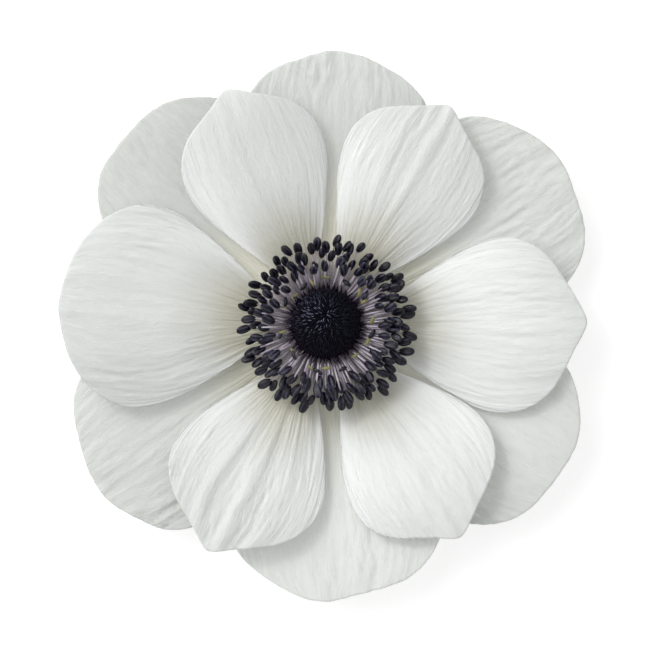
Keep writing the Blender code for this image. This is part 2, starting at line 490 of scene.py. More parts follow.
@dataclass(frozen=True)
class StyleFinish(Finish):
    """Styles: blue-black, wine-purple at the dome's edge, with a painted bluish highlight on some near the
    apex.
    """

    crown: Colour
    edge: Colour
    painted_glint: Colour
    painted_glint_at: tuple[float, float]
    painted_glint_reach: float
    gloss: float

    EDGE_BELOW, CROWN_ABOVE = 8.5 * MM, 12.5 * MM
    GRAIN = 2200.0

    def write(self, surface: Surface) -> None:
        """Writes the change from crown to edge and the painted highlight.

        Args:
            surface: The material's tree.
        """
        place = surface.place()
        x, y, height = surface.parts(place)
        # Painted highlight: a bluish colour on some styles round a point up and to the left of the apex, where
        # the lamps' glint falls.
        away = ((x - self.painted_glint_at[0]) ** 2.0 + (y - self.painted_glint_at[1]) ** 2.0) ** 0.5 / self.painted_glint_reach
        glint_share = surface.math("EXPONENT", -(away**2.0)) * 0.9 + surface.math("EXPONENT", -away) * 0.25
        glint_share = glint_share * surface.ease(surface.stored(TONE_AND_LIGHT), 0.35, 1.0)
        rim = 1.0 - surface.ease(height, self.EDGE_BELOW, self.CROWN_ABOVE)
        colour = surface.blend(rim, self.crown, self.edge)
        surface.feed("Base Color", surface.blend(glint_share, colour, self.painted_glint))
        grain = surface.noise(place, self.GRAIN, 1.0)
        surface.feed("Roughness", grain * 0.3 + (self.roughness - 0.15))
        surface.fix("Specular IOR Level", self.gloss)


@dataclass(frozen=True)
class WoolFinish(Finish):
    """The dome's wool: blue-black down combed out from the apex, whose raised tips carry a painted lighter
    sheen and are glossier.
    """

    root: Colour
    tip: Colour
    apex: tuple[float, float]
    gloss: float

    LANES = 9.0
    LANE_LENGTH = 0.75 * MM
    GRAIN = 3000.0
    DEPTH = 0.3 * MM
    DULL = 0.9

    def write(self, surface: Surface) -> None:
        """Writes the combed pattern.

        Args:
            surface: The material's tree.
        """
        place = surface.place()
        x, y, _ = surface.parts(place)
        x = x - self.apex[0]
        y = y - self.apex[1]
        radius = (x * x + y * y) ** 0.5 + 0.01 * MM
        lanes = surface.vector(x / radius * self.LANES, y / radius * self.LANES, radius / self.LANE_LENGTH)
        combed = surface.noise(lanes, detail=1.0)
        grain = surface.noise(place, self.GRAIN, 1.0)
        height = surface.ease(combed * 0.65 + grain * 0.35, 0.40, 0.62)
        # Painted sheen: the raised tips get a slightly lighter colour than the roots.
        surface.feed("Base Color", surface.blend(height, self.root, self.tip))
        surface.feed("Roughness", self.DULL - height * (self.DULL - self.roughness))
        surface.emboss(height, self.DEPTH)
        surface.fix("Specular IOR Level", self.gloss)


@dataclass(frozen=True)
class AntherFinish(Finish):
    """Anther walls: blue-black, with pale dust in patches and a painted highlight on the two ridges beside the
    groove.
    """

    wall: Colour
    dust_and_sheen: Colour

    GRAIN = 4200.0
    PATCHES = 800.0
    DEPTH = 0.06 * MM

    def write(self, surface: Surface) -> None:
        """Writes the pale dust, the painted ridge highlight and the fine grain.

        Args:
            surface: The material's tree.
        """
        place = surface.place()
        grain = surface.noise(place, self.GRAIN, 2.0, 0.6)
        patches = surface.noise(place, self.PATCHES, 2.0)
        own = surface.stored(TONE_AND_LIGHT)
        # Pale dust in patches, a painted highlight on the ridges, and painted light that makes the inner
        # whorls' anthers a little lighter.
        amount = grain * 0.40 + patches * 0.30 + surface.stored(RIDGE) * 0.30 + (own - 0.5) * 0.14
        dust_and_sheen_share = surface.ease(amount, 0.48, 0.72)
        surface.feed("Base Color", surface.blend(dust_and_sheen_share, self.wall, self.dust_and_sheen))
        surface.feed("Roughness", dust_and_sheen_share * 0.3 + (self.roughness - 0.12))
        surface.emboss(grain, self.DEPTH)
        surface.fix("Specular IOR Level", 0.4)


@dataclass(frozen=True)
class FilamentFinish(Finish):
    """Filaments: pale lilac at the foot, dusky mauve below the anther."""

    foot: Colour
    top: Colour

    STREAKS = 1500.0
    DEPTH = 0.03 * MM

    def write(self, surface: Surface) -> None:
        """Writes the change along each filament, a random difference from one to the next, and painted shade
        that darkens the filaments of the lower whorls.

        Args:
            surface: The material's tree.
        """
        own = surface.stored(TONE_AND_LIGHT)
        streak = surface.noise(surface.place(), self.STREAKS, 2.0)
        share = surface.ease(surface.stored(ALONG) + (own - 0.5) * 0.3, 0.35, 1.25)
        colour = surface.blend(share, self.foot, self.top)
        # Painted shade: the filaments of the lower whorls are darker, and a random part varies them one by
        # one.
        dark = tuple(0.38 * c for c in self.top)
        tone_and_shade = streak * 0.25 + (1.0 - own) * 0.75
        surface.feed("Base Color", surface.blend(tone_and_shade, colour, dark))
        surface.feed("Roughness", streak * 0.2 + (self.roughness - 0.1))
        surface.emboss(streak, self.DEPTH)


@dataclass(frozen=True)
class StemFinish(Finish):
    """Receptacle and stem: matte green skin, and pale pith inside it where the stem is cut."""

    skin: Colour
    pith: Colour

    STREAKS = (900.0, 200.0)
    PITH_INSIDE, SKIN_OUTSIDE = 2.2 * MM, 2.5 * MM
    DEPTH = 0.08 * MM

    def write(self, surface: Surface) -> None:
        """Writes the skin's streaks and the cut face.

        Args:
            surface: The material's tree.
        """
        x, y, z = surface.parts(surface.place())
        streaks = surface.vector(x * self.STREAKS[0], y * self.STREAKS[0], z * self.STREAKS[1])
        streaks = surface.noise(streaks, 1.0, 3.0)
        skin = surface.blend(streaks, self.skin, tuple(1.5 * c for c in self.skin))
        radius = (x * x + y * y) ** 0.5
        inside = 1.0 - surface.ease(radius, self.PITH_INSIDE, self.SKIN_OUTSIDE)
        end = LIFT + STUB_BOTTOM
        cut = (1.0 - surface.ease(z, end + 0.05 * MM, end + 0.2 * MM)) * inside
        surface.feed("Base Color", surface.blend(cut, skin, self.pith))
        surface.feed("Roughness", streaks * 0.2 + (self.roughness - 0.1))
        surface.emboss(streaks, self.DEPTH)


@dataclass(frozen=True)
class PlainFinish(Finish):
    """A plain surface with a faint mottle."""

    colour: Colour
    mottle_scale: float
    contrast: float
    glow: float = 0.0

    def write(self, surface: Surface) -> None:
        """Writes the mottle.

        Args:
            surface: The material's tree.
        """
        mottle = surface.noise(surface.place(), self.mottle_scale, 2.0)
        other = tuple(self.contrast * c for c in self.colour)
        surface.feed("Base Color", surface.blend(mottle, self.colour, other))
        surface.feed("Roughness", mottle * 0.1 + (self.roughness - 0.05))
        surface.fix("Emission Color", (1.0, 1.0, 1.0, 1.0))
        surface.fix("Emission Strength", self.glow)


def settle(piece: bpy.types.Object, slot: Slot, *nodes: str) -> bpy.types.Object:
    """Ties a finished piece to the flower.

    Args:
        piece: The piece, at the origin with its place in its mesh.
        slot: The material slot that its finish belongs to; not used.
        nodes: The solids that it stands for.

    Returns:
        The piece.
    """
    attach(piece, BODY)
    if nodes:
        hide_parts(*nodes)
    LOG.info("%s: %d faces, stands for %d nodes", piece.name, len(piece.data.polygons), len(nodes))
    return piece


@dataclass(frozen=True)
class PetalShape:
    """One petal; left is its anticlockwise side, seen from above."""

    direction: float  # degrees anticlockwise from +X
    length: float  # flower's axis to tip
    left: float  # degrees of spread on each side
    right: float
    tip_at: float  # where the tip sits across the petal, from -1 to 1
    tip: float  # how far the tip stands out from the rounded end
    phase: float  # of the waves at the end and the folds
    folds: float  # height of the folds that run to the tip
    pleats: float  # depth of its pleats against the ring's
    shade: float  # brightness of its blade, which paints in the light and shade that the petal gets
    claw_light: float  # painted light and shade on its claw, given as a brightness
    lit_side: float = 0.0  # painted light: how much lighter its left side is, or its right side if negative


@dataclass
class PetalRing:
    """Six petals that share a bowl, a thickness and a finish."""

    name: str
    shapes: tuple[PetalShape, ...]
    finish: PetalFinish
    seat: float  # height at the receptacle
    rise: float  # height of the outer end above the seat
    sag: float  # dip between the two ends
    belly: float  # how far the middle stands above the margins
    roll: float  # drop of the side margins
    curl: float  # drop of the tip
    twist: float  # slope across the petal, which tucks each margin under its neighbour
    shoulder: float  # share of the length where the side margin turns into the end
    squareness: float  # exponents of the rounded end
    fullness: float
    ripple: float  # depth of the waves along the end
    pleat_depth: float
    crispness: float  # how much sharper the fine pleats are towards the end
    painted_margin_light: float  # painted light: how much lighter both margins are
    wave: float  # height of the broad swells
    thickness: float = 0.16 * MM
    rows: int = 96
    columns: int = 150

    SIZES = (
        "Direction", "Length", "Left Spread", "Right Spread", "Tip At", "Tip", "Phase", "Folds",
        "Pleats", "Shade", "Claw Light", "Lit Side",
    )
    # How fast each pattern changes across a petal and along it.
    BROAD = (4.5, 1.2)
    FINE = (18.0, 6.5)
    GATHERS = (13.0, 2.2)
    SWELLS = (2.2, 1.6)
    SEED_STEP = 5.3

    def build(self) -> list[bpy.types.Object]:
        """Grows and dresses the ring's petals.

        Returns:
            The petals.
        """
        growth = self._tree(self.finish.make())
        petals = []
        for number, shape in enumerate(self.shapes, 1):
            sizes = (
                math.radians(shape.direction), shape.length, math.radians(shape.left),
                math.radians(shape.right), shape.tip_at, shape.tip, shape.phase, shape.folds,
                shape.pleats, shape.shade, shape.claw_light, shape.lit_side,
            )
            petal = growth.grow(f"{self.name}_tissue_{number}", sizes, number)
            solid = petal.modifiers.new("thickness", "SOLIDIFY")
            solid.thickness = self.thickness
            solid.offset = 0.0
            petals.append(settle(petal, Slot.PETAL, f"{self.name}_{number}"))
        return petals

    def _tree(self, material: bpy.types.Material) -> Growth:
        """The tree that bends a flat grid into a petal.

        Args:
            material: The petals' material.

        Returns:
            The tree.
        """
        growth = Growth(self.name, self.SIZES)
        counts = {"Size X": 1.0, "Size Y": 1.0, "Vertices X": self.rows, "Vertices Y": self.columns}
        grid = growth.field("GeometryNodeMeshGrid", None, counts)
        x, y, _ = growth.parts(growth.field("GeometryNodeInputPosition"))
        u = x + 0.5
        t = growth.math("SINE", y * math.pi)
        uv = growth.vector(t * 0.5 + 0.5, u)
        grid = growth.keep(grid, PETAL_UV, uv, "FLOAT2", "CORNER")
        # Painted light: the margins and one side are made lighter, and each petal's blade gets its own level
        # of light.
        margin = growth.ease(growth.math("ABSOLUTE", t), 0.35, 0.95) * self.painted_margin_light
        lit_side = growth.ease(t * growth.math("SIGN", growth.size("Lit Side")), 0.1, 0.85)
        lit_side = lit_side * growth.math("ABSOLUTE", growth.size("Lit Side"))
        lighter = 1.0 + (margin + lit_side) * growth.ease(u, 0.3, 0.85)
        grid = growth.keep(grid, TONE_AND_LIGHT, growth.size("Shade") * lighter)
        grid = growth.keep(grid, CLAW_LIGHT, growth.size("Claw Light"))
        along, across = self._plan(growth, u, t)
        height = self._bowl(growth, t, along, across) + self._relief(growth, u, t)
        turn = growth.size("Direction")
        cosine = growth.math("COSINE", turn)
        sine = growth.math("SINE", turn)
        place = growth.vector(along * cosine - across * sine, along * sine + across * cosine, height + LIFT)
        growth.finish(growth.dressed(growth.placed(grid, place), material))
        return growth

    def _plan(self, growth: Growth, u: Field, t: Field) -> tuple[Field, Field]:
        """Where a point lies, seen from above.

        Args:
            growth: The petals' tree.
            u: Share of the length, from 0 at the base to 1 at the end.
            t: Place across the petal, from -1 at the right margin to 1 at the left one.

        Returns:
            The distances along the petal, from the flower's axis, and across it.
        """
        full = growth.size("Length") - FAN_ORIGIN
        shoulder = full * self.shoulder
        size = growth.math("ABSOLUTE", t)
        rounded = growth.math("MAXIMUM", 1.0 - size**self.squareness, 0.0) ** self.fullness
        tip = growth.size("Tip")
        from_tip = growth.math("ABSOLUTE", (t - growth.size("Tip At")) / TIP_WIDTH)
        reach = shoulder + (full - tip - shoulder) * rounded
        reach = reach + tip * growth.math("EXPONENT", -(from_tip**1.5))
        reach = reach + growth.math("SINE", t * 9.0 + growth.size("Phase")) * rounded * self.ripple
        jag = growth.noise(growth.vector(t * 11.0, growth.size("Phase") * 7.0), detail=3.0)
        reach = reach + (jag - 0.5) * rounded * (2.2 * self.ripple)
        start = PETAL_BASE - FAN_ORIGIN
        distance = start + (reach - start) * u
        is_left = growth.math("GREATER_THAN", t, 0.0)
        spread = growth.size("Right Spread") * (1.0 - is_left) + growth.size("Left Spread") * is_left
        widening = growth.math("SINE", growth.math("MINIMUM", u / WIDENS_UNTIL, 1.0) * (math.pi / 2))
        angle = spread * t * (NARROW_FAN + (1 - NARROW_FAN) * widening)
        along = FAN_ORIGIN + distance * growth.math("COSINE", angle)
        across = distance * growth.math("SINE", angle) + t * CLAW_HALF_WIDTH * (1.0 - u) ** 3.0
        return along, across

    def _bowl(self, growth: Growth, t: Field, along: Field, across: Field) -> Field:
        """Height of the smooth bowl, whose margins and tip turn down.

        Args:
            growth: The petals' tree.
            t: Place across the petal, from -1 to 1.
            along: Distance along the petal from the flower's axis.
            across: Distance across the petal.

        Returns:
            The height.
        """
        radius = (along * along + across * across) ** 0.5
        out = (radius - PETAL_BASE) / (growth.size("Length") - PETAL_BASE)
        out = growth.math("MINIMUM", growth.math("MAXIMUM", out, 0.0), 1.0)
        height = self.seat + self.rise * growth.ease(out, 0.0, 1.0)
        height = height - self.sag * growth.math("SINE", out * math.pi) - self.curl * out**8.0
        arch = self.belly * (1.0 - t * t) - self.roll * growth.math("ABSOLUTE", t) ** 2.5
        return height + arch * growth.ease(out, 0.0, ROLLED_FROM) + self.twist * across

    def _relief(self, growth: Growth, u: Field, t: Field) -> Field:
        """Height of the pleats, the folds that run to the tip, the gathers at the base and the swells.

        Args:
            growth: The petals' tree.
            u: Share of the length, from 0 to 1.
            t: Place across the petal, from -1 to 1.

        Returns:
            The height over the bowl.
        """
        seed = growth.size("Seed") * self.SEED_STEP
        sway = (growth.noise(growth.vector(t * 3.0, u * 4.0, seed + 20.0), detail=2.0) - 0.5) * 0.16
        fan = t / (1.0 - u**4.0 * FAN_CLOSING) + sway * u
        patches = growth.noise(growth.vector(t * 3.0, u * 3.0, seed + 60.0), detail=1.0)
        patches = growth.ease(patches, 0.35, 0.7)
        broad = self._pattern(growth, fan, u, self.BROAD, seed, 1.0)
        fine = self._pattern(growth, fan, u, self.FINE, seed + 40.0, 2.0)
        crisp = 1.0 + growth.ease(u, 0.45, 0.9) * self.crispness
        crisp = crisp * (1.0 - growth.ease(growth.math("ABSOLUTE", t), 0.72, 1.0) * 0.75)
        pleats = (broad * 1.2 + fine * (0.35 + patches) * crisp) * growth.ease(u, 0.1, 0.9)
        crest = growth.math("COSINE", fan * 14.0 + growth.size("Phase")) * 0.5 + 0.5
        near = growth.math("EXPONENT", -((fan / 0.5) ** 2.0))
        folds = crest**2.5 * near * growth.ease(u, 0.12, 0.7) * growth.size("Folds")
        swells = self._pattern(growth, t, u, self.SWELLS, seed + 80.0, 0.0)
        gathers = self._pattern(growth, fan, u, self.GATHERS, seed + 30.0, 1.0)
        gathers = gathers * growth.ease(u, 0.02, 0.2) * (1.0 - growth.ease(u, 0.35, 0.75))
        height = (pleats + gathers * 1.1) * growth.size("Pleats") * self.pleat_depth + folds
        return height + swells * growth.ease(u, 0.2, 1.0) * self.wave

    @staticmethod
    def _pattern(growth: Growth, across: Field, along: Field, rates: tuple[float, float], seed: Field,
                 detail: float) -> Field:
        """Noise about 0 that follows the petal; the rates say how fast it changes across and along."""
        place = growth.vector(across * rates[0], along * rates[1], seed)
        return growth.noise(place, detail=detail) - 0.5


@dataclass(frozen=True)
class StyleShape:
    """One lot of styles on the dome.

    A level is 1 at the apex and 0 at the widest part. Combing is 0 for styles that stand straight out
    from the dome, and large for styles that lie down on it, away from the apex.
    """

    count: float
    length: float
    radius: float
    first_level: float
    last_level: float
    combing: float


CROWN_STYLES = StyleShape(900.0, 0.62 * MM, 0.09 * MM, first_level=1.0, last_level=0.22, combing=4.0)
FRINGE_STYLES = StyleShape(96.0, 1.45 * MM, 0.25 * MM, first_level=0.28, last_level=-0.15, combing=0.0)


@dataclass
class PistilDome:
    """The dome of packed pistils: a woolly core and the fine styles that are combed out over it."""

    core_finish: WoolFinish
    style_finish: StyleFinish
    crown: StyleShape = CROWN_STYLES
    fringe: StyleShape = FRINGE_STYLES
    centre: tuple[float, float] = (0.15 * MM, 0.2 * MM)
    lean: float = 1.5 * MM  # how far the apex stands back from the centre
    bottom: float = 7.4 * MM
    top: float = 14.5 * MM
    radius: float = 5.95 * MM
    foot_radius: float = 3.6 * MM
    belly_share: float = 0.42  # height of its widest ring, as a share of its height
    crown_steps: int = 16
    foot_steps: int = 8
    sides: int = 64

    SIZES = ("Count", "Length", "Radius", "First Level", "Last Level", "Combing")
    ROOT_DEPTH = 0.12 * MM

    def build(self) -> list[bpy.types.Object]:
        """Builds the core and grows the styles.

        Returns:
            The core, the crown's styles and the stouter ones of the fringe.
        """
        core = self._core()
        core.data.materials.append(self.core_finish.make())
        tree = self._styles(self.style_finish.make())
        crown = tree.grow("crown_styles", astuple(self.crown), 4)
        fringe = tree.grow("fringe_styles", astuple(self.fringe), 5)
        return [settle(core, Slot.PISTIL, "pistil_dome"), settle(crown, Slot.PISTIL),
                settle(fringe, Slot.PISTIL)]

    @property
    def belly(self) -> float:
        """Height of the dome's widest part."""
        return self.bottom + self.belly_share * (self.top - self.bottom)

    def _core(self) -> bpy.types.Object:
        """Turns the dome from its outline and leans it.

        Returns:
            The core.
        """
        outline = []
        for i in range(self.crown_steps + 1):
            angle = math.pi / 2 * (1 - i / self.crown_steps)
            height = self.belly + (self.top - self.belly) * math.sin(angle)
            outline.append((self.radius * math.cos(angle), height))
        for i in range(1, self.foot_steps + 1):
            angle = math.pi / 2 * i / self.foot_steps
            radius = self.foot_radius + (self.radius - self.foot_radius) * math.cos(angle)
            outline.append((radius, self.belly + (self.bottom - self.belly) * math.sin(angle)))
        outline.append((0.0, self.bottom))
        core = turned("pistil_core", outline, self.sides, self.centre)
        for vertex in core.data.vertices:
            share = (vertex.co.z - LIFT - self.belly) / (self.top - self.belly)
            vertex.co.y += self.lean * max(0.0, share) ** 2
        return core

    def _styles(self, material: bpy.types.Material) -> Growth:
        """The tree that spreads styles over the dome on a golden spiral.

        Args:
            material: The styles' material.

        Returns:
            The tree.
        """
        growth = Growth("styles", self.SIZES)
        count = growth.size("Count")
        points = growth.field("GeometryNodeMeshLine", None, {"Count": count})
        index = growth.field("GeometryNodeInputIndex")
        first = growth.size("First Level")
        level = first + (growth.size("Last Level") - first) * (index + 0.5) / count
        ring = (1.0 - level * level) ** 0.5
        azimuth = index * GOLDEN_ANGLE + growth.random(-0.07, 0.07)
        out_x = growth.math("COSINE", azimuth)
        out_y = growth.math("SINE", azimuth)
        combing = growth.size("Combing")
        depth = self.ROOT_DEPTH / (combing + 1.0)
        rise = self.top - self.belly
        foot = growth.vector(
            ring * out_x * (self.radius - depth) + self.centre[0],
            ring * out_y * (self.radius - depth) + self.centre[1]
            + growth.math("MAXIMUM", level, 0.0) ** 2.0 * self.lean,
            level * (rise - depth) + (self.belly + LIFT),
        )
        outward = ring * rise + combing * level * self.radius
        upward = level * self.radius - combing * ring * rise
        spread = (combing + 1.0) * (0.3 * self.radius)
        aim = growth.vector(
            out_x * outward + growth.random(-1.0, 1.0) * spread,
            out_y * outward + growth.random(-1.0, 1.0) * spread,
            upward + growth.random(-0.3, 0.9) * spread,
        )
        points = growth.keep(growth.placed(points, foot), TONE_AND_LIGHT, growth.random(0.0, 1.0))
        spike = {"Vertices": 6, "Side Segments": 1, "Radius Top": growth.size("Radius") * 0.15,
                 "Radius Bottom": growth.size("Radius"), "Depth": growth.size("Length")}
        style = growth.field("GeometryNodeMeshCone", None, spike)
        turn = growth.field("FunctionNodeAlignRotationToVector", {"axis": "Z"}, {"Vector": aim})
        size = growth.vector(1.0, 1.0, growth.random(0.55, 1.15))
        sockets = {"Points": points, "Instance": style, "Rotation": turn, "Scale": size}
        styles = growth.field("GeometryNodeInstanceOnPoints", None, sockets)
        growth.finish(growth.dressed(styles, material))
        return growth


def turned(name: str, outline: list[tuple[float, float]], sides: int,
           centre: tuple[float, float] = (0.0, 0.0)) -> bpy.types.Object:
    """Turns an outline about a vertical axis.

    Args:
        name: Name of the new object.
        outline: (radius, height) pairs from the top down, which start and end on the axis.
        sides: How many sides the turned shape has.
        centre: Where the axis stands.

    Returns:
        An object at the origin with a closed, smooth mesh.
    """
    shape = bmesh.new()
    points = [shape.verts.new((radius, 0.0, height + LIFT)) for radius, height in outline]
    edges = [shape.edges.new(pair) for pair in zip(points, points[1:])]
    bmesh.ops.spin(shape, geom=points + edges, cent=(0, 0, 0), axis=(0, 0, 1), angle=math.tau,
                   steps=sides, use_merge=True)
    bmesh.ops.remove_doubles(shape, verts=shape.verts, dist=0.001 * MM)
    bmesh.ops.recalc_face_normals(shape, faces=shape.faces)
    bmesh.ops.translate(shape, verts=shape.verts, vec=(centre[0], centre[1], 0.0))
    mesh = bpy.data.meshes.new(name)
    shape.to_mesh(mesh)
    shape.free()
    mesh.shade_smooth()
    turned_object = bpy.data.objects.new(name, mesh)
    bpy.context.scene.collection.objects.link(turned_object)
    return turned_object


@dataclass(frozen=True)
class WhorlShape:
    """One whorl of stamens: its share of the spiral, and where its feet stand."""

    name: str
    first: float  # number of its first stamen on the spiral
    count: float
    foot_radius: float
    foot_height: float
    upright: float  # how steeply its anthers stand, in radians
    arch: float  # how much higher its filaments bow than the least ones


@dataclass
class Stamens:
    """Filaments with a grooved anther each; one golden spiral of tips runs through all whorls."""

    whorls: tuple[WhorlShape, ...]
    filament_finish: FilamentFinish
    anther_finish: AntherFinish
    least_radius: float = 8.6 * MM
    greatest_radius: float = 13.55 * MM
    inner_height: float = 11.9 * MM
    outer_height: float = 8.7 * MM
    filament_radius: float = 0.175 * MM
    filament_points: int = 8
    filament_sides: int = 7
    anther_length: float = 2.7 * MM
    anther_width: float = 1.5 * MM
    anther_depth: float = 1.1 * MM
    anther_seat: float = 0.40  # share of an anther's length from the filament's tip to its middle
    centre_x: float = 0.35 * MM
    solids_in_whorl: int = 15

    SIZES = ("First", "Count", "Foot Radius", "Foot Height", "Upright", "Arch")

    def build(self) -> list[bpy.types.Object]:
        """Grows each whorl.

        Returns:
            One piece for each whorl.
        """
        growth = self._tree()
        pieces = []
        for seed, whorl in enumerate(self.whorls, 21):
            sizes = (whorl.first, whorl.count, whorl.foot_radius, whorl.foot_height, whorl.upright, whorl.arch)
            piece = growth.grow(f"{whorl.name}_whorl", sizes, seed)
            nodes = [f"{whorl.name}_{i + 1:02d}" for i in range(self.solids_in_whorl)]
            pieces.append(settle(piece, Slot.STAMEN, *nodes))
        return pieces

    @property
    def total(self) -> float:
        """How many stamens there are."""
        return sum(whorl.count for whorl in self.whorls)

    def _tree(self) -> Growth:
        """The tree that grows a whorl of stamens.

        Returns:
            The tree.
        """
        growth = Growth("stamens", self.SIZES)
        points = growth.field("GeometryNodeMeshLine", None, {"Count": growth.size("Count")})
        number = growth.field("GeometryNodeInputIndex") + growth.size("First")
        share = (number + 0.5) / self.total
        inner, outer = self.least_radius, self.greatest_radius
        radius = (share * (outer * outer - inner * inner) + inner * inner) ** 0.5
        azimuth = number * GOLDEN_ANGLE + growth.random(-0.02, 0.02)
        height = self.inner_height + share * (self.outer_height - self.inner_height) + LIFT
        foot = self._polar(growth, azimuth, growth.size("Foot Radius"), growth.size("Foot Height") + LIFT)
        tip = self._polar(growth, azimuth + growth.random(-0.035, 0.035),
                          radius + growth.random(-0.3 * MM, 0.3 * MM),
                          height + growth.random(-0.6 * MM, 0.6 * MM))
        tip = growth.vector_math("ADD", tip, (self.centre_x, 0.0, 0.0))
        points = growth.keep(points, "foot", foot, "FLOAT_VECTOR")
        points = growth.keep(points, "tip", tip, "FLOAT_VECTOR")
        # A random tone for each stamen plus painted light: the inner whorls, which lie on top, are lighter.
        points = growth.keep(points, TONE_AND_LIGHT, growth.random(0.0, 0.45) + (1.0 - share) * 0.55)
        points = growth.keep(points, "bend", growth.random(0.3 * MM, 1.3 * MM) + growth.size("Arch"))
        upright = growth.size("Upright") + growth.math("SINE", azimuth) * 0.35 + growth.random(-0.3, 0.3)
        points = growth.keep(points, "upright", upright)
        points = growth.keep(points, "yaw", growth.random(-0.45, 0.45))
        growth.finish(
            growth.dressed(self._filaments(growth, points), self.filament_finish.make()),
            growth.dressed(self._anthers(growth, points), self.anther_finish.make()),
        )
        return growth

    @staticmethod
    def _polar(growth: Growth, azimuth: Field, radius: Field, height: Field) -> Field:
        """A point from its azimuth, radius and height."""
        x = growth.math("COSINE", azimuth) * radius
        return growth.vector(x, growth.math("SINE", azimuth) * radius, height)

    def _filaments(self, growth: Growth, points: Field) -> Field:
        """One bowed, tapered tube for each point.

        Args:
            growth: The stamens' tree.
            points: Points that hold a stamen's foot, tip and bend.

        Returns:
            The tubes.
        """
        ends = {"Start": (0, 0, 0), "End": (0, 0, MM)}
        line = growth.field("GeometryNodeCurvePrimitiveLine", None, ends)
        line = growth.field("GeometryNodeResampleCurve", None, {"Curve": line, "Count": self.filament_points})
        tubes = growth.field("GeometryNodeInstanceOnPoints", None, {"Points": points, "Instance": line})
        tubes = growth.field("GeometryNodeRealizeInstances", None, {"Geometry": tubes})
        tubes = growth.keep(tubes, ALONG, growth.field("GeometryNodeSplineParameter"))
        share = growth.kept(ALONG)
        foot = growth.kept("foot", "FLOAT_VECTOR")
        span = growth.vector_math("SUBTRACT", growth.kept("tip", "FLOAT_VECTOR"), foot)
        straight = growth.vector_math("ADD", foot, growth.scaled(span, share))
        bow = growth.vector(0.0, 0.0, growth.math("SINE", share * math.pi) * growth.kept("bend"))
        tubes = growth.placed(tubes, growth.vector_math("ADD", straight, bow))
        ring = {"Resolution": self.filament_sides, "Radius": self.filament_radius}
        ring = growth.field("GeometryNodeCurvePrimitiveCircle", None, ring)
        sockets = {"Curve": tubes, "Profile Curve": ring, "Scale": 1.2 - share * 0.5, "Fill Caps": True}
        return growth.field("GeometryNodeCurveToMesh", None, sockets)

    def _anthers(self, growth: Growth, points: Field) -> Field:
        """One grooved anther on the end of each filament.

        Args:
            growth: The stamens' tree.
            points: Points that hold a stamen's foot, tip, steepness and yaw.

        Returns:
            The anthers, as instances.
        """
        ball = growth.field("GeometryNodeMeshUVSphere", None, {"Segments": 12, "Rings": 8, "Radius": 1.0})
        x, y, z = growth.parts(growth.field("GeometryNodeInputPosition"))
        from_ridge = (growth.math("ABSOLUTE", y) - 0.5) / 0.25
        ball = growth.keep(ball, RIDGE, growth.math("EXPONENT", -(from_ridge**2.0)))
        groove = growth.math("EXPONENT", -((y / 0.24) ** 2.0))
        depth = x * (1.0 - groove * 0.5) * (self.anther_depth / 2)
        waist = 1.0 + z * 0.12
        shape = growth.vector(depth, y * waist * (self.anther_width / 2), z * (self.anther_length / 2))
        anther = growth.placed(ball, shape)
        tip = growth.kept("tip", "FLOAT_VECTOR")
        foot = growth.kept("foot", "FLOAT_VECTOR")
        run_x, run_y, _ = growth.parts(growth.vector_math("SUBTRACT", tip, foot))
        yaw = growth.math("ARCTAN2", run_y, run_x) + growth.kept("yaw")
        pitch = growth.kept("upright")
        aim = self._polar(growth, yaw, growth.math("COSINE", pitch), growth.math("SINE", pitch))
        turn = growth.field("FunctionNodeAlignRotationToVector", {"axis": "Z"}, {"Vector": aim})
        turn = growth.field("FunctionNodeAlignRotationToVector", {"axis": "X", "pivot_axis": "Z"},
                            {"Rotation": turn, "Vector": (0.0, 0.0, 1.0)})
        roll = growth.field("FunctionNodeAxisAngleToRotation", None,
                            {"Axis": (0.0, 0.0, 1.0), "Angle": growth.random(-0.9, 0.9)})
        turn = growth.field("FunctionNodeRotateRotation", {"rotation_space": "LOCAL"},
                            {"Rotation": turn, "Rotate By": roll})
        seat = growth.vector_math("ADD", tip, growth.scaled(aim, self.anther_seat * self.anther_length))
        points = growth.placed(points, seat)
        size = growth.random(0.86, 1.1)
        sockets = {"Points": points, "Instance": anther, "Rotation": turn,
                   "Scale": growth.vector(size, size, size)}
        return growth.field("GeometryNodeInstanceOnPoints", None, sockets)


